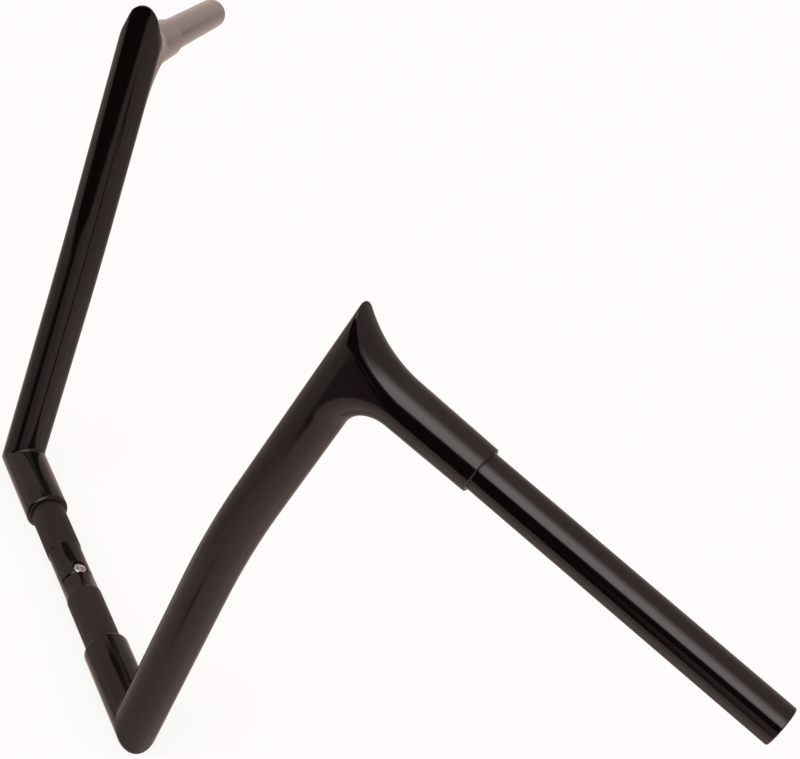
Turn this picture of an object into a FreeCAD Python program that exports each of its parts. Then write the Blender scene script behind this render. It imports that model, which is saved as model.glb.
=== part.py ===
import FreeCAD, Part
import os
import Sketcher

# Motorcycle handlebar in two halves, screwed together in the middle of its clamp section.
# Origin at the middle of the clamp section, X along the clamp axis with +X to the rider's right,
# Y forward, Z up. The left half is modelled, and its tubes are mirrored for the right half.

doc = FreeCAD.newDocument("handlebar")

# Driving dimensions, in millimetres and degrees
DIMENSIONS = [
    ("tube_dia", 31.75, "frame tubes, outside"),
    ("bar_dia", 25.4, "grip tubes and clamp section, outside"),
    ("grip_wall", 3.05, "wall of the grip tubes"),
    ("slip_clearance", 0.125, "radial gap of a bar or tube inside a frame tube"),
    ("edge_chamfer", 0.7, "broken edges at tube ends"),
    ("base_half_width", 148.4, "middle to the base corner"),
    ("clamp_half_width", 75.2, "middle to the end of a base tube"),
    ("lean_angle", 5.15, "outward lean of the lower riser"),
    ("lower_length", 172.2, "base corner to the bend"),
    ("bend_angle", 8.15, "bend of the riser"),
    ("bend_turn_angle", 17.7, "how far the bend turns rearward of straight out"),
    ("bend_radius", 600.0, "bend of the riser, on its axis"),
    ("upper_length", 164.7, "bend to the top corner"),
    ("grip_turn_angle", 16.5, "further rearward turn of the grip about the riser"),
    ("grip_angle", 86.7, "riser axis to grip axis"),
    ("corner_radius", 24.0, "blend under the top corner"),
    ("sweep_radius", 75.0, "hollow curve from the sleeve up to the point"),
    ("sleeve_length", 94.8, "top corner to the end of the sleeve"),
    ("sleeve_end_dia", 30.0, "sleeve at its end, outside"),
    ("grip_start", 58.0, "top corner to the hidden end of the grip tube"),
    ("spigot_dia", 24.6, "swaged end of the grip tube inside the sleeve"),
    ("spigot_gap", 0.8, "groove between the sleeve's end and the grip tube's shoulder"),
    ("grip_length", 305.1, "top corner to the open end of the grip tube"),
    ("stub_insert", 50.0, "length of a clamp stub inside its base tube"),
    ("relief_dia", 24.2, "turned-down middle of the clamp section"),
    ("left_band_start", 21.5, "middle to the left knurled band"),
    ("right_band_start", 27.8, "middle to the right knurled band"),
    ("band_chamfer", 0.4, "shoulder of a knurled band"),
    ("joint_offset", 1.5, "screw axis to the left of the middle"),
    ("lap_length", 9.0, "length of the half-lap"),
    ("lap_gap", 0.06, "gap all through the half-lap"),
    ("lap_chamfer", 0.6, "broken edges of the half-lap seam"),
    ("screw_dia", 6.0, "screw shank"),
    ("screw_length", 15.0, "screw under its head"),
    ("head_dia", 10.0, "screw head"),
    ("head_height", 6.0, "screw head"),
    ("head_chamfer", 0.5, "screw head, top edge"),
    ("socket_width", 5.0, "hexagon across its flats"),
    ("socket_depth", 3.0, "hexagon"),
    ("head_seat", 4.8, "lap plane up to the seat of the head"),
    ("counterbore_dia", 11.4, "recess for the head"),
    ("hole_clearance", 0.3, "radial gap of the screw in the upper tongue"),
    ("thread_clearance", 0.05, "radial gap of the screw in the tapped hole"),
]

sheet = doc.addObject("Spreadsheet::Sheet", "Size")
for row, (alias, value, meaning) in enumerate(DIMENSIONS, start=1):
    sheet.set(f"A{row}", meaning)
    sheet.set(f"B{row}", str(value))
    sheet.setAlias(f"B{row}", alias)
doc.recompute()

TUBE_R = "Size.tube_dia / 2"
BAR_R = "Size.bar_dia / 2"
BORE_R = "(Size.bar_dia / 2 + Size.slip_clearance)"
BEND_RUN = "Size.bend_radius * tan(Size.bend_angle / 2)"
ELBOW_R = "(Size.tube_dia / 2 + Size.corner_radius)"
CORNER_RUN = ELBOW_R + " * tan(Size.grip_angle / 2)"
SWEEP_RUN = "(Size.tube_dia / 2 + Size.sweep_radius)"
SPIGOT_R = "Size.spigot_dia / 2"


def size(expression):
    return float(sheet.evalExpression(expression))


def bind(obj, **expressions):
    for name, expression in expressions.items():
        obj.setExpression(name, expression)
    return obj


def turn(axis, angle):
    return f"placement(vector(0; 0; 0); rotation(vector({axis}); {angle}))"


def shift(x, y, z):
    return f"placement(vector({x}; {y}; {z}); rotation(vector(0; 0; 1); 0))"


def frame(name, *steps):
    return bind(doc.addObject("App::Placement", name), Placement=" * ".join(steps))


def cylinder(name, radius, height, *steps):
    obj = doc.addObject("Part::Cylinder", name)
    return bind(obj, Radius=radius, Height=height, Placement=" * ".join(steps))


def fused(name, pieces):
    obj = doc.addObject("Part::MultiFuse", name)
    obj.Shapes = pieces
    return obj


def cut(name, base, tool):
    obj = doc.addObject("Part::Cut", name)
    obj.Base = base
    obj.Tool = tool
    return obj


def mirrored(name, source):
    obj = doc.addObject("Part::Mirroring", name)
    obj.Source = source
    obj.Base = FreeCAD.Vector(0, 0, 0)
    obj.Normal = FreeCAD.Vector(1, 0, 0)
    return obj


def profile(body, name, corners):
    """Closed outline in the body's XZ plane, each corner given as (radius, height) expressions."""
    sketch = body.newObject("Sketcher::SketchObject", name)
    plane = next(item for item in body.Origin.OriginFeatures if item.Role == "XZ_Plane")
    sketch.AttachmentSupport = [(plane, "")]
    sketch.MapMode = "FlatFace"
    points = []
    for radius, height in corners:
        points.append(FreeCAD.Vector(size(radius), size(height), 0))
    for start, end in zip(points, points[1:] + points[:1]):
        sketch.addGeometry(Part.LineSegment(start, end), False)
    for line, (radius, height) in enumerate(corners):
        before = (line - 1) % len(corners)
        sketch.addConstraint(Sketcher.Constraint("Coincident", before, 2, line, 1))
        for kind, expression, value in (("DistanceX", radius, points[line].x),
                                        ("DistanceY", height, points[line].y)):
            index = sketch.addConstraint(Sketcher.Constraint(kind, -1, 1, line, 1, value))
            sketch.setExpression(f"Constraints[{index}]", expression)
    return sketch


def turned(name, corners, *steps):
    """Body turned about its own Z axis from an outline."""
    body = doc.addObject("PartDesign::Body", name)
    bind(body, Placement=" * ".join(steps))
    sketch = profile(body, name + "_outline", corners)
    revolution = body.newObject("PartDesign::Revolution", name + "_turning")
    revolution.Profile = sketch
    revolution.ReferenceAxis = (sketch, ["V_Axis"])
    revolution.Angle = 360
    return body


# Frames along the left half: foot of the riser, bend, top corner, grip
frame("riser_frame",
      shift("-Size.base_half_width", 0, 0),
      turn("0; 1; 0", "-Size.lean_angle"),
      turn("0; 0; 1", "180 + Size.bend_turn_angle"))
frame("bend_frame",
      "riser_frame.Placement",
      shift(0, 0, "Size.lower_length"),
      turn("0; 1; 0", "Size.bend_angle"))
frame("top_frame",
      "bend_frame.Placement",
      shift(0, 0, "Size.upper_length"),
      turn("0; 0; 1", "Size.grip_turn_angle"))
frame("grip_frame",
      "top_frame.Placement",
      turn("0; 1; 0", "Size.grip_angle"))
frame("mitre_frame",
      shift("-Size.base_half_width", 0, 0),
      turn("0; 1; 0", "-(90 + Size.lean_angle) / 2"))
doc.recompute()


# Mitre at the base corner: blocks on either side of the plane that halves the corner
def mitre_block(name, low):
    block = doc.addObject("Part::Box", name)
    reach = "4 * Size.tube_dia"
    bind(block, Length="2 * " + reach, Width="2 * " + reach, Height=reach)
    corner = shift("-" + reach, "-" + reach, low)
    return bind(block, Placement="mitre_frame.Placement * " + corner)


above_mitre = mitre_block("above_mitre", 0)
below_mitre = mitre_block("below_mitre", "-4 * Size.tube_dia")

# Base tube: level, square and chamfered towards the middle, mitred at the base corner
base_end = "Size.clamp_half_width"
base_far = "Size.base_half_width + Size.tube_dia"
base_blank = turned("base_blank", [
    (BORE_R, base_end),
    (TUBE_R + " - Size.edge_chamfer", base_end),
    (TUBE_R, base_end + " + Size.edge_chamfer"),
    (TUBE_R, base_far),
    (BORE_R, base_far),
], turn("0; 1; 0", "-90"))
left_base_tube = cut("left_base_tube", base_blank, above_mitre)


# Riser: straight run, gentle bend and straight run, drawn once for the outside and once for the bore
def riser_run(name, radius, top):
    low = cylinder(name + "_low", radius, "Size.lower_length - " + BEND_RUN + " + Size.tube_dia",
                   "riser_frame.Placement", shift(0, 0, "-Size.tube_dia"))
    bend = doc.addObject("Part::Torus", name + "_bend")
    bind(bend, Radius1="Size.bend_radius", Radius2=radius, Angle3="Size.bend_angle",
         Placement="riser_frame.Placement * placement(vector(Size.bend_radius; 0; Size.lower_length - "
         + BEND_RUN + "); rotation(vector(0; 1; 1); 180))")
    high = cylinder(name + "_high", radius, top + " - " + BEND_RUN,
                    "bend_frame.Placement", shift(0, 0, BEND_RUN))
    return [low, bend, high]


riser_tubes = riser_run("riser", TUBE_R, "Size.upper_length")

# Formed top. Inside the corner the riser turns into the grip sleeve through an elbow, and a web as wide
# as the tubes fills the space between the elbow's middle line and the outer side.
elbow = doc.addObject("Part::Torus", "elbow")
bind(elbow, Radius1=ELBOW_R, Radius2=TUBE_R, Angle3="Size.grip_angle",
     Placement="top_frame.Placement * placement(vector(" + ELBOW_R + "; 0; -" + CORNER_RUN
     + "); rotation(vector(0; 1; 1); 180))")
elbow_middle = cylinder("elbow_middle", ELBOW_R, "2 * Size.tube_dia", "top_frame.Placement",
                        shift(ELBOW_R, "Size.tube_dia", "-" + CORNER_RUN), turn("1; 0; 0", "90"))
web_block = doc.addObject("Part::Box", "web_block")
bind(web_block, Length=CORNER_RUN + " * sin(Size.grip_angle)", Width="Size.tube_dia",
     Height=CORNER_RUN + " + Size.tube_dia",
     Placement="top_frame.Placement * " + shift(0, "-" + TUBE_R, "-" + CORNER_RUN))

# Outside the corner the sleeve sweeps up in a hollow curve to a point on the riser's front
frame("sweep_frame",
      "grip_frame.Placement",
      shift("-" + SWEEP_RUN, 0, CORNER_RUN),
      turn("1; 0; 0", "-90"))
sweep_tube = doc.addObject("Part::Torus", "sweep_tube")
bind(sweep_tube, Radius1=SWEEP_RUN, Radius2=TUBE_R, Angle3="Size.grip_angle",
     Placement="sweep_frame.Placement")
sweep_middle = cylinder("sweep_middle", SWEEP_RUN, "2 * Size.tube_dia", "sweep_frame.Placement",
                        shift(0, 0, "-Size.tube_dia"))
hollow = cut("hollow", sweep_middle, sweep_tube)
point_blank = cylinder("point_blank", TUBE_R, "Size.sweep_radius", "top_frame.Placement")
point = cut("point", point_blank, hollow)
sweep_side = doc.addObject("Part::Box", "sweep_side")
bind(sweep_side, Length=SWEEP_RUN, Width="2 * Size.tube_dia", Height=SWEEP_RUN,
     Placement="top_frame.Placement * " + shift(0, "-Size.tube_dia", "-Size.tube_dia"))
sweep = doc.addObject("Part::MultiCommon", "sweep")
sweep.Shapes = [sweep_tube, sweep_side]
web = cut("web", cut("web_above_elbow", web_block, elbow_middle), sweep_middle)

# Grip sleeve: tapers slightly to a chamfered end
sleeve = turned("sleeve", [
    ("0", "0"),
    (TUBE_R, "0"),
    (TUBE_R, CORNER_RUN),
    ("Size.sleeve_end_dia / 2", "Size.sleeve_length - Size.edge_chamfer"),
    ("Size.sleeve_end_dia / 2 - Size.edge_chamfer", "Size.sleeve_length"),
    ("0", "Size.sleeve_length"),
], "grip_frame.Placement")

riser_outside = fused("riser_outside", riser_tubes + [elbow, web, point, sweep, sleeve])
sleeve_bore = cylinder("sleeve_bore", SPIGOT_R + " + Size.slip_clearance",
                       "Size.sleeve_length + Size.tube_dia", "grip_frame.Placement")
riser_bore = fused("riser_bore", riser_run("bore", BORE_R, "Size.upper_length") + [sleeve_bore])
riser_hollow = cut("riser_hollow", riser_outside, riser_bore)
left_riser = cut("left_riser", riser_hollow, below_mitre)

# Grip tube: swaged at its inner end to slip into the sleeve, open at its outer end
grip_bore = BAR_R + " - Size.grip_wall"
spigot_bore = SPIGOT_R + " - Size.grip_wall"
shoulder = "Size.sleeve_length + Size.spigot_gap"
left_grip_tube = turned("left_grip_tube", [
    (spigot_bore, "Size.grip_start"),
    (SPIGOT_R, "Size.grip_start"),
    (SPIGOT_R, shoulder),
    (BAR_R, shoulder),
    (BAR_R, "Size.grip_length - Size.edge_chamfer"),
    (BAR_R + " - Size.edge_chamfer", "Size.grip_length"),
    (grip_bore, "Size.grip_length"),
    (grip_bore, shoulder),
    (spigot_bore, shoulder),
], "grip_frame.Placement")


# Clamp stubs: turned bar with a knurled band, and a half-lap tongue towards the middle. Each stub's
# own Z axis points outward and its tongue is on its -X side: below on the left half, above on the right.
def clamp_stub(name, band_start, joint, facing):
    tongue_end = f"({joint} - Size.lap_length / 2 + Size.lap_gap)"
    root = f"({joint} + Size.lap_length / 2)"
    relief_r = "Size.relief_dia / 2"
    body = turned(name, [
        ("0", tongue_end),
        (relief_r + " - Size.lap_chamfer", tongue_end),
        (relief_r, tongue_end + " + Size.lap_chamfer"),
        (relief_r, band_start),
        (BAR_R, band_start + " + Size.band_chamfer"),
        (BAR_R, "Size.clamp_half_width + Size.stub_insert"),
        ("0", "Size.clamp_half_width + Size.stub_insert"),
    ], turn("0; 1; 0", facing))
    doc.recompute()
    opposite = profile(body, name + "_lap_outline", [
        ("0", tongue_end + " - Size.lap_length"),
        ("Size.bar_dia", tongue_end + " - Size.lap_length"),
        ("Size.bar_dia", root + " + Size.bar_dia - " + relief_r + " + Size.lap_chamfer"),
        (relief_r + " - Size.lap_chamfer", root),
        ("0", root),
    ])
    lap = body.newObject("PartDesign::Groove", name + "_lap")
    lap.Profile = opposite
    lap.ReferenceAxis = (opposite, ["V_Axis"])
    lap.Angle = 180
    lap.Midplane = True
    return body


def drilled(body, name, radius, low, high, joint):
    hole = body.newObject("PartDesign::SubtractiveCylinder", name)
    return bind(hole, Radius=radius, Height=f"{high} - ({low})",
                Placement=f"placement(vector({low}; 0; {joint}); rotation(vector(0; 1; 0); 90))")


left_joint = "Size.joint_offset"
right_joint = "-Size.joint_offset"
counterbore_r = "Size.counterbore_dia / 2"
left_clamp_stub = clamp_stub("left_clamp_stub", "Size.left_band_start", left_joint, "-90")
drilled(left_clamp_stub, "tapped_hole", "Size.screw_dia / 2 + Size.thread_clearance",
        "-Size.bar_dia", "Size.lap_gap", left_joint)
drilled(left_clamp_stub, "shoulder_counterbore", counterbore_r, "Size.head_seat", "Size.bar_dia", left_joint)
right_clamp_stub = clamp_stub("right_clamp_stub", "Size.right_band_start", right_joint, "90")
drilled(right_clamp_stub, "clearance_hole", "Size.screw_dia / 2 + Size.hole_clearance",
        "-Size.bar_dia", "Size.lap_gap", right_joint)
drilled(right_clamp_stub, "counterbore", counterbore_r, "-Size.bar_dia", "-Size.head_seat", right_joint)

# Joint screw: socket-head cap screw, head seated in the counterbore of the upper tongue
joint_screw = turned("joint_screw", [
    ("0", "-Size.screw_length"),
    ("Size.screw_dia / 2 - Size.head_chamfer", "-Size.screw_length"),
    ("Size.screw_dia / 2", "-Size.screw_length + Size.head_chamfer"),
    ("Size.screw_dia / 2", "0"),
    ("Size.head_dia / 2", "0"),
    ("Size.head_dia / 2", "Size.head_height - Size.head_chamfer"),
    ("Size.head_dia / 2 - Size.head_chamfer", "Size.head_height"),
    ("0", "Size.head_height"),
], shift("-Size.joint_offset", 0, "Size.head_seat"))
doc.recompute()
socket = joint_screw.newObject("PartDesign::SubtractivePrism", "hexagon_socket")
socket.Polygon = 6
bind(socket, Circumradius="Size.socket_width / 2 / cos(30)", Height="Size.socket_depth",
     Placement=shift(0, 0, "Size.head_height - Size.socket_depth"))

pieces = [left_grip_tube, left_riser, left_base_tube, left_clamp_stub, joint_screw, right_clamp_stub]
for piece in (left_base_tube, left_riser, left_grip_tube):
    pieces.append(mirrored(piece.Name.replace("left", "right"), piece))

doc.recompute()
for item in doc.Objects:
    if "Invalid" in item.State or "Error" in item.State:
        raise RuntimeError(f"{item.Name} failed: {item.State}")
for piece in pieces:
    piece.Label = piece.Name
    if piece.Shape.isNull() or not piece.Shape.isValid() or len(piece.Shape.Solids) != 1:
        raise RuntimeError(f"{piece.Label} is not one valid solid")

os.makedirs("parts", exist_ok=True)
for piece in pieces:
    piece.Shape.exportStep(f"parts/{piece.Label}.step")
    print(f"{piece.Label}: {piece.Shape.Volume:.0f} mm3")
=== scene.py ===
import math

import bmesh
import bpy
from mathutils import Matrix, Vector


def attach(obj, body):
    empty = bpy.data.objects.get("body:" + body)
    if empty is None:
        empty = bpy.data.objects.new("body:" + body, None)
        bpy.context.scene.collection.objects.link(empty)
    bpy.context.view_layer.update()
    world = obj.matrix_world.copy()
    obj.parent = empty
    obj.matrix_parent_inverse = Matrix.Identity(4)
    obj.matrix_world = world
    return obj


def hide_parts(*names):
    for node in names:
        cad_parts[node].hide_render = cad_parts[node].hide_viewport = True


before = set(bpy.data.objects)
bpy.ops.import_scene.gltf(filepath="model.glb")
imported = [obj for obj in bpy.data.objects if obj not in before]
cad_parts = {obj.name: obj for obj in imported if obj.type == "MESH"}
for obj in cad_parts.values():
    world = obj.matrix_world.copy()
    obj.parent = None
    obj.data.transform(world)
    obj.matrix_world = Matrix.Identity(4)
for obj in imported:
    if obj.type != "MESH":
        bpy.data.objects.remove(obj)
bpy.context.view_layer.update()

# Clamp halves
# Two turned steel bars, 1 in across, that meet in a half-lap at the middle of the handlebar.
# A fine straight knurl is rolled where the yoke's clamps close on them, and between the knurled
# bands the bar is turned down and left smooth. Both halves are coated black.
MM = 0.001
BAR_R = 12.7
RELIEF_R = 12.1
STUB_END = 125.2
BAND_START = {"left": 21.5, "right": 27.8}
BAND_BREAK = 0.4
BAND_FADE = 1.5
SHOULDER_DROP = BAND_BREAK / 4
SHOULDER_KNURL = 0.7
KNURL_END = 90.2
KNURL_TEETH = 64
KNURL_DEPTH = 0.28
KNURL_GROOVE = (0.0, 0.0, 0.35, 0.8, 1.0, 0.8, 0.35, 0.0)
LAP_LENGTH = 9.0
LAP_GAP = 0.06
LAP_BREAK = 0.9
LAP_SHARP = 43
SCREW_X = -1.5
HEAD_SEAT = 4.8
COUNTERBORE_R = 5.7
THREAD_R = 3.05
HOLE_REACH = 20.0
HOLE_COLUMNS = 64
SHARP = 30
SAME_POINT = 1e-4
NO_LENGTH = 1e-5
NO_HEIGHT = 1e-6


def linear(hex_colour):
    """An sRGB hex colour as the linear RGBA that shaders take."""
    channels = []
    for start in (1, 3, 5):
        value = int(hex_colour[start:start + 2], 16) / 255
        channels.append(value / 12.92 if value <= 0.04045 else ((value + 0.055) / 1.055) ** 2.4)
    return (*channels, 1.0)


def add(tree, kind, inputs=None, **settings):
    """A node with its settings; each input is a value or the output socket that feeds it."""
    node = tree.nodes.new(kind)
    for name, value in settings.items():
        setattr(node, name, value)
    for name, value in (inputs or {}).items():
        if isinstance(value, bpy.types.NodeSocket):
            tree.links.new(value, node.inputs[name])
        else:
            node.inputs[name].default_value = value
    return node


def new_finish(name):
    """An empty material and its node tree."""
    material = bpy.data.materials.new(name)
    material.use_nodes = True
    material.node_tree.nodes.clear()
    return material, material.node_tree


def skin(bm, rows):
    """Quads between neighbouring rings of points."""
    made = [[bm.verts.new(point) for point in row] for row in rows]
    for low, high in zip(made, made[1:]):
        for i in range(len(low)):
            j = (i + 1) % len(low)
            bm.faces.new((low[i], low[j], high[j], high[i]))
    return made


def capped_skin(bm, rows):
    """The same, with a face across the first and the last ring."""
    made = skin(bm, rows)
    bm.faces.new(made[0])
    bm.faces.new(made[-1])


def as_object(name, bm):
    """An object in metres, from points in millimetres."""
    bmesh.ops.recalc_face_normals(bm, faces=bm.faces)
    bmesh.ops.scale(bm, vec=(MM, MM, MM), verts=bm.verts)
    mesh = bpy.data.meshes.new(name)
    bm.to_mesh(mesh)
    bm.free()
    obj = bpy.data.objects.new(name, mesh)
    bpy.context.collection.objects.link(obj)
    return obj


def finished(name, bm, finish, sharp_angle=SHARP):
    """The piece itself in its finish, smooth but for edges sharper than the angle in degrees."""
    bmesh.ops.remove_doubles(bm, verts=bm.verts, dist=SAME_POINT)
    bmesh.ops.dissolve_degenerate(bm, edges=bm.edges, dist=NO_LENGTH)
    obj = as_object(name, bm)
    obj.data.shade_smooth()
    obj.data.set_sharp_from_angle(angle=math.radians(sharp_angle))
    obj.data.materials.append(finish)
    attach(obj, "root")
    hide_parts(name)
    return obj


def clamp_half(side):
    """One stub along the clamp axis; its tongue is below on the left half and above on the right."""
    out = -1 if side == "left" else 1
    screw = out * SCREW_X
    root = screw + LAP_LENGTH / 2
    tip = screw - LAP_LENGTH / 2 + LAP_GAP
    band = BAND_START[side]
    fade = band + BAND_FADE
    columns = KNURL_TEETH * len(KNURL_GROOVE)
    half = columns // 2

    def point(column, along, radius, knurl=0.0):
        angle = 2 * math.pi * column / columns
        radius -= knurl * KNURL_DEPTH * KNURL_GROOVE[column % len(KNURL_GROOVE)]
        on_lap = along < root and abs(math.sin(angle)) < NO_HEIGHT
        lift = LAP_GAP / 2 if on_lap else 0.0
        return (out * along, radius * math.cos(angle), out * (radius * math.sin(angle) + lift))

    bm = bmesh.new()
    stations = [
        (STUB_END, BAR_R, 0),
        (KNURL_END + 2 * BAND_BREAK, BAR_R, 0),
        (KNURL_END, BAR_R, 1),
        (fade, BAR_R, 1),
        (fade - BAND_BREAK, BAR_R - SHOULDER_DROP, SHOULDER_KNURL),
        (band + BAND_BREAK, RELIEF_R + SHOULDER_DROP, 0),
        (band, RELIEF_R, 0),
        (root + LAP_BREAK, RELIEF_R, 0),
    ]
    bar = skin(bm, [[point(c, *station) for c in range(columns)] for station in stations])
    tongue = [bar[-1][:half + 1]]
    for along, radius in ((root, RELIEF_R), (tip + LAP_BREAK, RELIEF_R), (tip, RELIEF_R - LAP_BREAK)):
        tongue.append([bm.verts.new(point(c, along, radius)) for c in range(half + 1)])
    ledge = [bar[-1][half:] + bar[-1][:1]]
    ledge.append([bm.verts.new(point(c, root, RELIEF_R - LAP_BREAK)) for c in range(half, columns + 1)])
    for rows in (tongue, ledge):
        for low, high in zip(rows, rows[1:]):
            for i in range(half):
                bm.faces.new((low[i], low[i + 1], high[i + 1], high[i]))
        bm.faces.new(rows[-1])
    bm.faces.new([row[0] for row in tongue] + [row[-1] for row in reversed(tongue)]
                 + [ledge[-1][0], ledge[-1][-1]])
    bm.faces.new(bar[0])
    return bm


def screw_hole():
    """Recess for the screw's head above the seat, and the hole for its shank below."""
    rows = []
    for radius, height in ((THREAD_R, -HOLE_REACH), (THREAD_R, HEAD_SEAT),
                           (COUNTERBORE_R, HEAD_SEAT), (COUNTERBORE_R, HOLE_REACH)):
        row = []
        for column in range(HOLE_COLUMNS):
            angle = 2 * math.pi * column / HOLE_COLUMNS
            row.append((SCREW_X + radius * math.cos(angle), radius * math.sin(angle), height))
        rows.append(row)
    bm = bmesh.new()
    capped_skin(bm, rows)
    return as_object("screw_hole", bm)


# Satin black coat on knurled steel: thin and a little rough on the knurl, so it greys softly in the
# light with the crests paler than the grooves, and glossy where the bar is turned smooth.
# Real grit in such a coat is too fine to show, so it is drawn at 0.6 mm.
GRIT = 0.6
GRIT_HEIGHT = 0.05
GRIT_BUMP = 0.15
SMOOTH_ROUGHNESS = 0.08
KNURL_ROUGHNESS = (0.24, 0.36)
RELIEF_EDGE = 0.1
satin_coat, tree = new_finish("satin_black_coat_on_knurled_steel")
place = add(tree, "ShaderNodeTexCoord").outputs["Object"]
axes = add(tree, "ShaderNodeSeparateXYZ", {"Vector": place}).outputs
across = add(tree, "ShaderNodeCombineXYZ", {
    "X": 0.0, "Y": axes["Y"], "Z": axes["Z"]}).outputs["Vector"]
from_axis = add(tree, "ShaderNodeVectorMath", {0: across}, operation="LENGTH").outputs["Value"]
crest = add(tree, "ShaderNodeMapRange", {
    "Value": from_axis,
    "From Min": (BAR_R - KNURL_DEPTH) * MM,
    "From Max": BAR_R * MM}).outputs["Result"]
grit = add(tree, "ShaderNodeTexNoise", {
    "Vector": place, "Scale": 1 / (GRIT * MM), "Detail": 4.0, "Roughness": 0.6}).outputs["Fac"]
# Colour paler on the knurl's crests and darker down in its grooves
satin_black = add(tree, "ShaderNodeMix", {
    "Factor": crest, "A": linear("#100d0c"), "B": linear("#201c1a")}, data_type="RGBA")
rub = add(tree, "ShaderNodeMapRange", {
    "Value": grit, "From Min": 0.3, "From Max": 0.7,
    "To Min": KNURL_ROUGHNESS[0], "To Max": KNURL_ROUGHNESS[1]}).outputs["Result"]
knurled = add(tree, "ShaderNodeMapRange", {
    "Value": from_axis,
    "From Min": (RELIEF_R + RELIEF_EDGE) * MM,
    "From Max": (BAR_R - KNURL_DEPTH) * MM}).outputs["Result"]
sheen = add(tree, "ShaderNodeMix", {
    "Factor": knurled, "A": SMOOTH_ROUGHNESS, "B": rub}).outputs["Result"]
grain = add(tree, "ShaderNodeMath", {0: knurled, 1: GRIT_BUMP}, operation="MULTIPLY").outputs["Value"]
gritty = add(tree, "ShaderNodeBump", {
    "Strength": grain, "Distance": GRIT_HEIGHT * MM, "Height": grit})
satin = add(tree, "ShaderNodeBsdfPrincipled", {
    "Base Color": satin_black.outputs[2], "Roughness": sheen, "IOR": 1.5,
    "Normal": gritty.outputs["Normal"]})
add(tree, "ShaderNodeOutputMaterial", {"Surface": satin.outputs["BSDF"]})

cutter = screw_hole()
for side in ("left", "right"):
    stub = finished(side + "_clamp_stub", clamp_half(side), satin_coat, LAP_SHARP)
    boolean = stub.modifiers.new("screw_hole", "BOOLEAN")
    boolean.object = cutter
    boolean.solver = "EXACT"
    shaped = stub.evaluated_get(bpy.context.evaluated_depsgraph_get())
    drilled = bpy.data.meshes.new_from_object(shaped)
    stub.modifiers.clear()
    stub.data = drilled
    drilled.set_sharp_from_angle(angle=math.radians(LAP_SHARP))
bpy.data.objects.remove(cutter)

# Joint screw
# A socket-head cap screw of bright zinc-plated steel, turned from the upper tongue into the lower
# one. Its head sits in the counterbore, just under the surface, with a knurled side and a hexagon.
SHANK_R = 3.0
SHANK_LENGTH = 15.0
HEAD_R = 5.0
HEAD_HEIGHT = 6.0
HEAD_BREAK = 0.5
UNDER_BREAK = 0.2
RIB_DEPTH = 0.12
RIB_EVERY = 3
COLLAR_HEIGHT = 0.2
COLLAR_DROP = 0.1
SOCKET_WIDTH = 5.0
SOCKET_DEPTH = 3.0
SOCKET_LEAD = 0.15
SOCKET_LEAD_DEPTH = 0.3
DRILL_POINT = 0.4
DRILL_POINT_R = 0.3
SCREW_COLUMNS = 144
SCREW_SHARP = 25

# Zinc-plated steel, turned on a lathe: bright and slightly blue, with turning rings on the head's
# top that draw the light out into a soft cross. Real rings are too fine to show, so they are drawn
# 1.57 mm apart. The wave texture runs through 20 radians in each unit of scaled length.
RING_SPACING = 1.5708
WAVE_RADIANS = 20
RING_HEIGHT = 0.02
PLATING_PATCH = 1.5
zinc_steel, tree = new_finish("zinc_plated_steel")
place = add(tree, "ShaderNodeTexCoord").outputs["Object"]
from_screw = add(tree, "ShaderNodeVectorMath", {
    0: place, 1: (-SCREW_X * MM, 0.0, 0.0)}, operation="ADD").outputs["Vector"]
turning = add(tree, "ShaderNodeTexWave", {
    "Vector": from_screw, "Scale": 2 * math.pi / (WAVE_RADIANS * RING_SPACING * MM),
    "Distortion": 0.6, "Detail": 1.0}, wave_type="RINGS", rings_direction="Z").outputs["Fac"]
plating = add(tree, "ShaderNodeTexNoise", {
    "Vector": place, "Scale": 1 / (PLATING_PATCH * MM), "Detail": 3.0}).outputs["Fac"]
bright = add(tree, "ShaderNodeMix", {
    "Factor": plating, "A": linear("#c6c7c9"), "B": linear("#e2e2e0")}, data_type="RGBA")
dull = add(tree, "ShaderNodeMapRange", {
    "Value": plating, "To Min": 0.22, "To Max": 0.38}).outputs["Result"]
rings = add(tree, "ShaderNodeBump", {
    "Strength": 0.12, "Distance": RING_HEIGHT * MM, "Height": turning})
metal = add(tree, "ShaderNodeBsdfPrincipled", {
    "Base Color": bright.outputs[2], "Metallic": 1.0, "Roughness": dull,
    "Normal": rings.outputs["Normal"]})
add(tree, "ShaderNodeOutputMaterial", {"Surface": metal.outputs["BSDF"]})


def screw_row(height, radius, rib=0.0, hexagon=False):
    """One ring of the screw, at a height above its seat."""
    row = []
    for column in range(SCREW_COLUMNS):
        angle = 2 * math.pi * column / SCREW_COLUMNS
        reach = radius - rib * (column % RIB_EVERY == 0)
        if hexagon:
            from_flat = (angle + math.pi / 6) % (math.pi / 3) - math.pi / 6
            reach = radius / math.cos(from_flat)
        row.append((SCREW_X + reach * math.cos(angle), reach * math.sin(angle), HEAD_SEAT + height))
    return row


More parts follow.
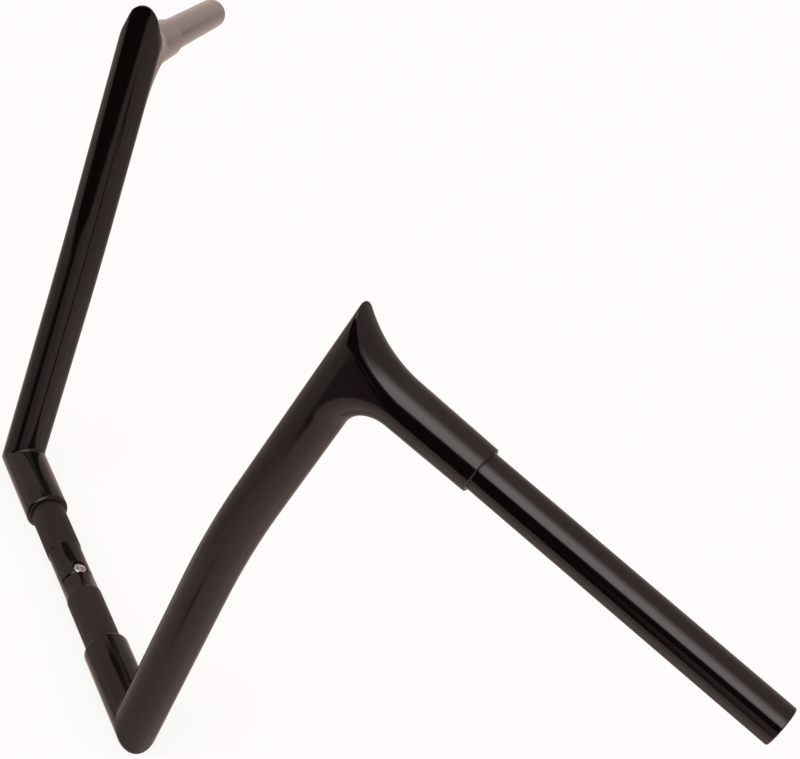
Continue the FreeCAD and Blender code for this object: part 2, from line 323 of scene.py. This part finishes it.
rib_top = HEAD_HEIGHT - HEAD_BREAK - 2 * COLLAR_HEIGHT
socket_corner_r = SOCKET_WIDTH / 2 / math.cos(math.pi / 6)
socket_floor = HEAD_HEIGHT - SOCKET_DEPTH
bm = bmesh.new()
capped_skin(bm, [
    screw_row(-SHANK_LENGTH, SHANK_R - HEAD_BREAK),
    screw_row(-SHANK_LENGTH + HEAD_BREAK, SHANK_R),
    screw_row(0.0, SHANK_R),
    screw_row(0.0, HEAD_R - UNDER_BREAK),
    screw_row(UNDER_BREAK, HEAD_R, RIB_DEPTH),
    screw_row(rib_top, HEAD_R, RIB_DEPTH),
    screw_row(rib_top + COLLAR_HEIGHT, HEAD_R - COLLAR_DROP),
    screw_row(rib_top + 2 * COLLAR_HEIGHT, HEAD_R - COLLAR_DROP),
    screw_row(HEAD_HEIGHT, HEAD_R - HEAD_BREAK),
    screw_row(HEAD_HEIGHT, socket_corner_r + SOCKET_LEAD),
    screw_row(HEAD_HEIGHT - SOCKET_LEAD_DEPTH, SOCKET_WIDTH / 2, hexagon=True),
    screw_row(socket_floor, SOCKET_WIDTH / 2, hexagon=True),
    screw_row(socket_floor - DRILL_POINT, DRILL_POINT_R),
])
finished("joint_screw", bm, zinc_steel, SCREW_SHARP)

# Base tubes
# Two short level lengths of 1.25 in steel tube. Each slips over a clamp half and is welded to it
# inside with a rounded lip, and its outer end is mitred, welded to the riser's foot and ground round.
TUBE_R = 15.875
BORE_R = 12.825
BASE_END = 75.2
BORE_SHOWN = 20.0
LIP_R = 2.8
LIP_STEPS = 10
LIP_BLEND = 25.0
BASE_HALF = 148.4
LEAN = math.radians(5.15)
WELD_R = 2.5
WELD_STEPS = 8
COLUMNS = 128
tube_angles = [2 * math.pi * column / COLUMNS for column in range(COLUMNS)]
foot = Vector((-BASE_HALF, 0, 0))
level = Vector((1, 0, 0))
upright = Vector((-math.sin(LEAN), 0, math.cos(LEAN)))
inward = (level + upright).normalized()
along_mitre = (upright - upright.dot(inward) * inward).normalized()
weld_turn = (math.pi / 2 - LEAN) / 2

# Gloss black powder coat on steel: a thick smooth skin over the tube, deep black and shiny, with a
# faint waviness like orange peel that softens the edge of each reflection, and a little dust.
PEEL = 3.0
PEEL_HEIGHT = 0.03
HAZE_PATCH = 35.0
gloss_coat, tree = new_finish("gloss_black_powder_coat")
place = add(tree, "ShaderNodeTexCoord").outputs["Object"]
peel = add(tree, "ShaderNodeTexNoise", {
    "Vector": place, "Scale": 1 / (PEEL * MM), "Detail": 2.0, "Roughness": 0.45}).outputs["Fac"]
haze = add(tree, "ShaderNodeTexNoise", {
    "Vector": place, "Scale": 1 / (HAZE_PATCH * MM), "Detail": 3.0}).outputs["Fac"]
shine = add(tree, "ShaderNodeMapRange", {
    "Value": haze, "From Min": 0.3, "From Max": 0.7, "To Min": 0.07, "To Max": 0.12}).outputs["Result"]
gloss_black = add(tree, "ShaderNodeMix", {
    "Factor": haze, "A": linear("#0a0707"), "B": linear("#0f0b0a")}, data_type="RGBA")
wave = add(tree, "ShaderNodeBump", {
    "Strength": 0.06, "Distance": PEEL_HEIGHT * MM, "Height": peel})
gloss = add(tree, "ShaderNodeBsdfPrincipled", {
    "Base Color": gloss_black.outputs[2], "Roughness": shine, "IOR": 1.5,
    "Normal": wave.outputs["Normal"]})
add(tree, "ShaderNodeOutputMaterial", {"Surface": gloss.outputs["BSDF"]})


def weld_round(corner, towards):
    """Points of the ground weld from the mitre to where a tube's straight side starts."""
    centre = corner + inward * (WELD_R / math.cos(weld_turn))
    points = []
    for step in range(WELD_STEPS + 1):
        turn = weld_turn * step / WELD_STEPS
        points.append(centre + WELD_R * (towards * math.sin(turn) - inward * math.cos(turn)))
    return points


def both_sides(name, bm, finish):
    """The piece on the left half, and its mirror image on the right."""
    other = bm.copy()
    bmesh.ops.scale(other, vec=(-1, 1, 1), verts=other.verts)
    finished("left_" + name, bm, finish)
    finished("right_" + name, other, finish)


lip = [(BASE_END + BORE_SHOWN, BORE_R), (BASE_END, BORE_R)]
for step in range(LIP_STEPS + 1):
    turn = math.pi / 2 * step / LIP_STEPS
    lip.append((BASE_END + LIP_R * (1 - math.cos(turn)), TUBE_R - LIP_R * (1 - math.sin(turn))))
lip.append((BASE_END + LIP_BLEND, TUBE_R))
mouth = []
for along, radius in lip:
    mouth.append([Vector((-along, radius * math.cos(a), radius * math.sin(a))) for a in tube_angles])
welds = []
for angle in tube_angles:
    y, z = TUBE_R * math.cos(angle), TUBE_R * math.sin(angle)
    corner = foot + Vector((z * math.cos(LEAN) / (1 + math.sin(LEAN)), y, z))
    welds.append(weld_round(corner, -along_mitre)[::-1])
bm = bmesh.new()
capped_skin(bm, mouth + [list(row) for row in zip(*welds)])
both_sides("base_tube", bm, gloss_coat)

# Risers
# Each is one 1.25 in steel tube, bent once at mid height, with a top pressed and welded up to a
# point. Behind the point the tube sweeps down in a hollow curve into a sleeve for the grip tube.
LOWER_LENGTH = 172.2
BEND = math.radians(8.15)
BEND_TURN = math.radians(17.7)
BEND_R = 600.0
BEND_STEPS = 24
UPPER_LENGTH = 164.7
UPPER_MIDDLE = 80.0
GRIP_TURN = math.radians(16.5)
GRIP_ANGLE = math.radians(86.7)
CORNER_R = 24.0
SWEEP_R = 72.2
SWEEP_STEPS = 36
POINT_FLAT = 0.3
POINT_R = 0.8
POINT_STEPS = 12
CREASE_R = 6.5
CREASE_FROM = math.radians(35)
CREASE_TO = math.radians(62)
CREASE_STEPS = 10
SLEEVE_LENGTH = 94.8
SLEEVE_END_R = 15.0
SLEEVE_BORE_R = 12.425
SLEEVE_BORE_SHOWN = 40.0
EDGE_BREAK = 0.7
HALF_COLUMNS = 64
WEB_COLUMNS = 6

riser_frame = (Matrix.Translation(foot) @ Matrix.Rotation(-LEAN, 4, "Y")
               @ Matrix.Rotation(math.pi + BEND_TURN, 4, "Z"))
bend_frame = riser_frame @ Matrix.Translation((0, 0, LOWER_LENGTH)) @ Matrix.Rotation(BEND, 4, "Y")
top_frame = bend_frame @ Matrix.Translation((0, 0, UPPER_LENGTH)) @ Matrix.Rotation(GRIP_TURN, 4, "Z")
grip_way = Vector((math.sin(GRIP_ANGLE), 0, math.cos(GRIP_ANGLE)))
over_grip = Vector((-math.cos(GRIP_ANGLE), 0, math.sin(GRIP_ANGLE)))
corner_run = (TUBE_R + CORNER_R) * math.tan(GRIP_ANGLE / 2)
bend_run = BEND_R * math.tan(BEND / 2)
elbow_centre = Vector((TUBE_R + CORNER_R, 0, -corner_run))
sweep_centre = grip_way * corner_run + over_grip * (TUBE_R + SWEEP_R)


def eased(part):
    """A share from 0 to 1 that starts and ends gently."""
    return part * part * (3 - 2 * part)


def riser_below(x, y):
    """One line of the riser, from the weld at its foot to where the top corner starts."""
    turned = Matrix.Rotation(GRIP_TURN, 3, "Z") @ Vector((x, y, 0))
    start = riser_frame @ turned
    across_mitre = upright - level
    corner = start - upright * ((start - foot).dot(across_mitre) / upright.dot(across_mitre))
    points = weld_round(corner, along_mitre)
    bend_start = LOWER_LENGTH - bend_run
    low = points[-1]
    high = riser_frame @ (turned + Vector((0, 0, bend_start)))
    points += [low.lerp(high, part) for part in (0.25, 0.5, 0.75)]
    reach = BEND_R - turned.x
    for step in range(BEND_STEPS + 1):
        turn = BEND * step / BEND_STEPS
        points.append(riser_frame @ Vector((BEND_R - reach * math.cos(turn), turned.y,
                                            bend_start + reach * math.sin(turn))))
    for height in (UPPER_MIDDLE, UPPER_LENGTH - corner_run):
        points.append(bend_frame @ (turned + Vector((0, 0, height))))
    return points


def point_side(angle):
    """One line over the outer side: up the riser, round the point's edge, down the hollow sweep.

    The edge is sharp at the tip and swells to a soft crease at the sides. On the forward side the
    sweep starts a little fuller.
    """
    x, y = -TUBE_R * math.cos(angle), TUBE_R * math.sin(angle)
    swell = min(max((abs(angle) - CREASE_FROM) / (CREASE_TO - CREASE_FROM), 0.0), 1.0)
    edge_r = POINT_R + (CREASE_R - POINT_R) * eased(swell)
    dip = TUBE_R * (1 - math.cos(angle))
    fill = dip * POINT_FLAT if angle < 0 else 0.0
    point_sweep_r = SWEEP_R + dip - fill
    edge_x = x + edge_r
    drop = math.sqrt((point_sweep_r + edge_r) ** 2 - (edge_x - sweep_centre.x) ** 2)
    edge_z = sweep_centre.z - drop
    points = []
    for step in range(1, POINT_STEPS):
        points.append(Vector((x, y, -corner_run + (edge_z + corner_run) * step / POINT_STEPS)))
    stop = math.atan2(sweep_centre.z - edge_z, sweep_centre.x - edge_x)
    for step in range(CREASE_STEPS + 1):
        turn = math.pi + (stop - math.pi) * step / CREASE_STEPS
        points.append(Vector((edge_x + edge_r * math.cos(turn), y, edge_z + edge_r * math.sin(turn))))
    begin = stop - math.pi
    end = math.atan2(-over_grip.z, -over_grip.x)
    for step in range(1, SWEEP_STEPS + 1):
        part = step / SWEEP_STEPS
        turn = begin + (end - begin) * part
        sweep_r = point_sweep_r + fill * eased(part)
        points.append(Vector((sweep_centre.x + sweep_r * math.cos(turn), y,
                              sweep_centre.z + sweep_r * math.sin(turn))))
    return points


def elbow_side(angle, rows):
    """One line round the inside of the top corner."""
    reach = TUBE_R + CORNER_R - TUBE_R * math.cos(angle)
    points = []
    for row in range(1, rows + 1):
        turn = GRIP_ANGLE * row / rows
        points.append(elbow_centre + Vector((-reach * math.cos(turn), TUBE_R * math.sin(angle),
                                             reach * math.sin(turn))))
    return points


def sleeve_line(upward, sideways):
    """One line along the sleeve to its chamfered end, and back inside to the grip tube's seat."""
    points = []
    for along, radius in ((corner_run + (SLEEVE_LENGTH - EDGE_BREAK - corner_run) / 2,
                           (TUBE_R + SLEEVE_END_R) / 2),
                          (SLEEVE_LENGTH - EDGE_BREAK, SLEEVE_END_R),
                          (SLEEVE_LENGTH, SLEEVE_END_R - EDGE_BREAK),
                          (SLEEVE_LENGTH, SLEEVE_BORE_R),
                          (SLEEVE_LENGTH - SLEEVE_BORE_SHOWN, SLEEVE_BORE_R)):
        points.append(grip_way * along + over_grip * (radius * upward) + Vector((0, radius * sideways, 0)))
    return points


def web_between(near, far):
    """Lines across the flat side of the top corner, between its outer and inner half."""
    web = []
    for column in range(1, WEB_COLUMNS):
        web.append([a.lerp(b, column / WEB_COLUMNS) for a, b in zip(near, far)])
    return web


outer = []
for column in range(HALF_COLUMNS + 1):
    angle = math.pi * (column / HALF_COLUMNS - 0.5)
    top = point_side(angle) + sleeve_line(math.cos(angle), math.sin(angle))
    below = riser_below(-TUBE_R * math.cos(angle), TUBE_R * math.sin(angle))
    outer.append(below + [top_frame @ p for p in top])
corner_rows = len(point_side(0.0))
inner = []
for column in range(HALF_COLUMNS + 1):
    angle = math.pi * (0.5 - column / HALF_COLUMNS)
    top = elbow_side(angle, corner_rows) + sleeve_line(-math.cos(angle), math.sin(angle))
    below = riser_below(TUBE_R * math.cos(angle), TUBE_R * math.sin(angle))
    inner.append(below + [top_frame @ p for p in top])
lines = outer + web_between(outer[-1], inner[0]) + inner + web_between(inner[-1], outer[0])
bm = bmesh.new()
capped_skin(bm, [list(row) for row in zip(*lines)])
both_sides("riser", bm, gloss_coat)

# Grip tubes
# Straight 1 in steel tubes, open at the outer end. Each is swaged at its inner end to a spigot that
# slips into the riser's sleeve up to a shoulder, and is welded there before coating.
SPIGOT_R = 12.3
SPIGOT_BORE_R = 9.25
GRIP_START = 58.0
GRIP_LENGTH = 305.1
GRIP_BORE_R = 9.65
BORE_BREAK = 0.3
SHOULDER = 95.6
SHOULDER_BREAK = 0.15
grip_frame = top_frame @ Matrix.Rotation(GRIP_ANGLE, 4, "Y")

outline = [
    (SPIGOT_BORE_R, GRIP_START),
    (SPIGOT_R, GRIP_START),
    (SPIGOT_R, SHOULDER),
    (BAR_R - SHOULDER_BREAK, SHOULDER),
    (BAR_R, SHOULDER + SHOULDER_BREAK),
    (BAR_R, GRIP_LENGTH - EDGE_BREAK),
    (BAR_R - EDGE_BREAK, GRIP_LENGTH),
    (GRIP_BORE_R + BORE_BREAK, GRIP_LENGTH),
    (GRIP_BORE_R, GRIP_LENGTH - BORE_BREAK),
    (GRIP_BORE_R, SHOULDER),
    (SPIGOT_BORE_R, SHOULDER),
]
grip_rows = []
for radius, along in outline + outline[:1]:
    grip_rows.append([grip_frame @ Vector((radius * math.cos(a), radius * math.sin(a), along))
                      for a in tube_angles])
bm = bmesh.new()
skin(bm, grip_rows)
both_sides("grip_tube", bm, gloss_coat)

# Floor
# A wide sheet of matt white paper that the handlebar stands on. The camera sees it as nearly plain
# white with a soft shadow. The gloss of the coating mirrors the studio's table in its place, so the
# sheet is hidden from glossy rays.
FLOOR_HALF = 30000.0
floor_reach = FLOOR_HALF * MM
floor_z = -TUBE_R * MM
floor_mesh = bpy.data.meshes.new("paper_floor")
floor_mesh.from_pydata([(-floor_reach, -floor_reach, floor_z), (floor_reach, -floor_reach, floor_z),
                        (floor_reach, floor_reach, floor_z), (-floor_reach, floor_reach, floor_z)],
                       [], [(0, 1, 2, 3)])
floor = bpy.data.objects.new("paper_floor", floor_mesh)
bpy.context.collection.objects.link(floor)

# Matt white paper: an even pale sheet with hardly any grain, lit to white, where only the shadow shows.
# Real fibres are too fine to show, so the grain is drawn at 4 mm.
FIBRE = 4.0
WHITE_STRENGTH = 1.05
WHITE_SHARE = 0.82
paper, tree = new_finish("matt_white_paper")
place = add(tree, "ShaderNodeTexCoord").outputs["Object"]
fibre = add(tree, "ShaderNodeTexNoise", {
    "Vector": place, "Scale": 1 / (FIBRE * MM), "Detail": 2.0}).outputs["Fac"]
sheet = add(tree, "ShaderNodeMix", {
    "Factor": fibre, "A": linear("#f7f7f6"), "B": linear("#fbfbfa")}, data_type="RGBA")
lit = add(tree, "ShaderNodeBsdfDiffuse", {"Color": sheet.outputs[2]})
white = add(tree, "ShaderNodeEmission", {"Color": (1, 1, 1, 1), "Strength": WHITE_STRENGTH})
seen = add(tree, "ShaderNodeLightPath").outputs["Is Camera Ray"]
white_share = add(tree, "ShaderNodeMath", {0: seen, 1: WHITE_SHARE}, operation="MULTIPLY").outputs["Value"]
blend = add(tree, "ShaderNodeMixShader", {
    0: white_share, 1: lit.outputs["BSDF"], 2: white.outputs["Emission"]})
add(tree, "ShaderNodeOutputMaterial", {"Surface": blend.outputs["Shader"]})
floor_mesh.materials.append(paper)
floor.visible_glossy = False

# Studio
# The room that the coating mirrors: a pale table and pale walls, one large soft lamp above the
# camera, and the unlit part of the room behind the camera, which gives the tubes their black bands.
# The bar stands at a slant to that table, so the room has its own upright direction.
STUDIO_UP = (0.206, 0.273, 0.940)
STUDIO_FRONT = (-0.875, 0.482, 0.051)
STUDIO_SIDE = (-0.439, -0.833, 0.338)
STRIP_SIDE = (0.898, 0.438, 0.005)
LAMP_WAY = (-0.461, 0.623, 0.632)
world = bpy.data.worlds.new("studio")
bpy.context.scene.world = world
world.use_nodes = True
tree = world.node_tree
tree.nodes.clear()

# Each direction as its rise above the table, its swing round from the front, and its angle from the
# strip's line, all in degrees
way = add(tree, "ShaderNodeTexCoord").outputs["Generated"]
shares = []
for axis in (STUDIO_UP, STUDIO_FRONT, STUDIO_SIDE, STRIP_SIDE, LAMP_WAY):
    shares.append(add(tree, "ShaderNodeVectorMath", {
        0: way, 1: axis}, operation="DOT_PRODUCT").outputs["Value"])
upward, ahead, aside, off_strip, near_lamp = shares
angles_seen = []
for operation, inputs in (("ARCSINE", {0: upward}),
                          ("ARCTAN2", {0: aside, 1: ahead}),
                          ("ARCSINE", {0: off_strip})):
    radians = add(tree, "ShaderNodeMath", inputs, operation=operation).outputs["Value"]
    angles_seen.append(add(tree, "ShaderNodeMath", {0: radians}, operation="DEGREES").outputs["Value"])
rise, swing, beside_strip = angles_seen

# Pale table below and walls above, warm, and dimmest on the lower part of the walls
PALE_STOPS = ((-70, "#edd5cb"), (-45, "#e2cac1"), (-28, "#ceb8af"), (-8, "#c5b0a8"),
              (30, "#bfaaa3"), (55, "#ceb8af"), (80, "#e7cfc6"))
ramp_place = add(tree, "ShaderNodeMapRange", {
    "Value": rise, "From Min": -90.0, "From Max": 90.0}).outputs["Result"]
pale = add(tree, "ShaderNodeValToRGB", {"Fac": ramp_place})
while len(pale.color_ramp.elements) < len(PALE_STOPS):
    pale.color_ramp.elements.new(0.5)
for element, (degrees, hex_colour) in zip(pale.color_ramp.elements, PALE_STOPS):
    element.position = (degrees + 90) / 180
    element.color = linear(hex_colour)

# Slanting borders in the room: the table's edge, which climbs to the left, the right end of the
# unlit room, the end of the dark strip, and a step of light across the table
EDGE_CLIMB = -0.26
EDGE_CLIMB_FROM = -57
ROOM_SLANT = 1.1
STRIP_SLANT = 0.62
STEP_SLANT = 0.27
STEP_SLANT_FROM = -95.0
climb = add(tree, "ShaderNodeMath", {
    0: swing, 1: EDGE_CLIMB, 2: -EDGE_CLIMB * EDGE_CLIMB_FROM}, operation="MULTIPLY_ADD").outputs["Value"]
table_edge = add(tree, "ShaderNodeMath", {0: climb, 1: 0.0}, operation="MAXIMUM").outputs["Value"]
over_edge = add(tree, "ShaderNodeMath", {
    0: rise, 1: table_edge}, operation="SUBTRACT").outputs["Value"]
room_right = add(tree, "ShaderNodeMath", {
    0: rise, 1: ROOM_SLANT, 2: swing}, operation="MULTIPLY_ADD").outputs["Value"]
strip_end = add(tree, "ShaderNodeMath", {
    0: swing, 1: STRIP_SLANT, 2: rise}, operation="MULTIPLY_ADD").outputs["Value"]
past_turn = add(tree, "ShaderNodeMath", {
    0: swing, 1: -STEP_SLANT_FROM}, operation="ADD").outputs["Value"]
step_turn = add(tree, "ShaderNodeMath", {0: past_turn, 1: 0.0}, operation="MAXIMUM").outputs["Value"]
past_step = add(tree, "ShaderNodeMath", {
    0: step_turn, 1: STEP_SLANT, 2: rise}, operation="MULTIPLY_ADD").outputs["Value"]

# How much light each thing in the room takes away, or adds where the share is negative. A limit
# names a measure, where the thing has no effect, and where it has its full effect.
behind = ((aside, 0.30, 0.25), (aside, -0.30, -0.25), (ahead, -0.5, -0.8), (rise, -27, -20))
shades = (
    # The wall straight behind the bar is brighter, and most so low down
    (-0.45, behind + ((rise, 14, 8),)),
    (-0.3, behind + ((rise, -2, -9),)),
    # The unlit room, from the table's edge up to the lamp
    (1.0, ((over_edge, -0.8, 0.8), (rise, 27, 22), (swing, -97, -93), (room_right, 27, 23))),
    # A dark strip along the table on the camera's side
    (1.0, ((beside_strip, -11.5, -2), (beside_strip, 24, 4), (strip_end, -62.0, -61.2), (rise, 3, 1),
           (ahead, 0.05, 0.25))),
    # The table beyond the step of light
    (0.3, ((past_step, -15.8, -14.2), (rise, 2, -2), (swing, -172, -156), (swing, 0, -20))),
    # The table's far side
    (0.38, ((ahead, 0.05, -0.45), (aside, -0.42, -0.15), (rise, 0, -10))),
    # The table close under the bar, on the left and behind
    (0.4, ((rise, -36, -50), (swing, -90, -125))),
    # The far ceiling
    (0.9, ((rise, 56.5, 58.0), (swing, -116, -126))),
    # A dark thing high up behind the bar
    (0.75, ((rise, 38, 41), (rise, 55, 52), (aside, -0.08, -0.04), (aside, 0.20, 0.16),
            (ahead, -0.3, -0.5))),
)
light = 1.0
for taken, limits in shades:
    for measure, none, full in limits:
        part = add(tree, "ShaderNodeMapRange", {
            "Value": measure, "From Min": none, "From Max": full},
            interpolation_type="SMOOTHSTEP").outputs["Result"]
        taken = add(tree, "ShaderNodeMath", {0: taken, 1: part}, operation="MULTIPLY").outputs["Value"]
    kept = add(tree, "ShaderNodeMath", {0: 1.0, 1: taken}, operation="SUBTRACT").outputs["Value"]
    light = add(tree, "ShaderNodeMath", {0: light, 1: kept}, operation="MULTIPLY").outputs["Value"]
room = add(tree, "ShaderNodeBackground", {"Color": pale.outputs["Color"], "Strength": light})

# Soft round lamp above the camera, brightest in the middle, with a straight lower edge
LAMP_STRENGTH = 2.45
LAMP_RIM = 0.70
LAMP_MIDDLE = 0.98
LAMP_FALL = 2.0
LAMP_FOOT = 25.0
LAMP_FULL = 30.0
glow = add(tree, "ShaderNodeMapRange", {
    "Value": near_lamp, "From Min": LAMP_RIM, "From Max": LAMP_MIDDLE}).outputs["Result"]
soft = add(tree, "ShaderNodeMath", {0: glow, 1: LAMP_FALL}, operation="POWER").outputs["Value"]
lower_edge = add(tree, "ShaderNodeMapRange", {
    "Value": rise, "From Min": LAMP_FOOT, "From Max": LAMP_FULL,
    "To Max": LAMP_STRENGTH}).outputs["Result"]
strength = add(tree, "ShaderNodeMath", {0: soft, 1: lower_edge}, operation="MULTIPLY").outputs["Value"]
softbox = add(tree, "ShaderNodeBackground", {"Color": linear("#fffaf7"), "Strength": strength})
studio = add(tree, "ShaderNodeAddShader", {
    0: room.outputs["Background"], 1: softbox.outputs["Background"]})

# The camera sees plain white in place of the room
backdrop = add(tree, "ShaderNodeBackground", {"Color": (1, 1, 1, 1), "Strength": 1.0})
seen = add(tree, "ShaderNodeLightPath").outputs["Is Camera Ray"]
view = add(tree, "ShaderNodeMixShader", {
    0: seen, 1: studio.outputs["Shader"], 2: backdrop.outputs["Background"]})
add(tree, "ShaderNodeOutputWorld", {"Surface": view.outputs["Shader"]})

# Camera
# The photograph's own viewing place, in front of the bar on its left and above it, found from the
# known tube sizes. Its right, up and back directions were found with it.
CAMERA_PLACE = Vector((-892.029, 498.567, 758.350))
CAMERA_RIGHT = Vector((-0.415275, -0.830377, 0.371511))
CAMERA_UP = Vector((0.573627, 0.077938, 0.815401))
CAMERA_BACK = Vector((-0.706045, 0.551724, 0.443961))
SENSOR_WIDTH = 36.0
LENS = 76.133
FARTHEST = 100.0
camera_data = bpy.data.cameras.new("camera")
camera_data.sensor_width = SENSOR_WIDTH
camera_data.lens = LENS
camera_data.clip_end = FARTHEST
camera = bpy.data.objects.new("camera", camera_data)
facing = Matrix((CAMERA_RIGHT, CAMERA_UP, CAMERA_BACK)).transposed().to_4x4()
camera.matrix_world = Matrix.Translation(CAMERA_PLACE * MM) @ facing
bpy.context.collection.objects.link(camera)
bpy.context.scene.camera = camera
bpy.context.scene.view_settings.view_transform = "Standard"
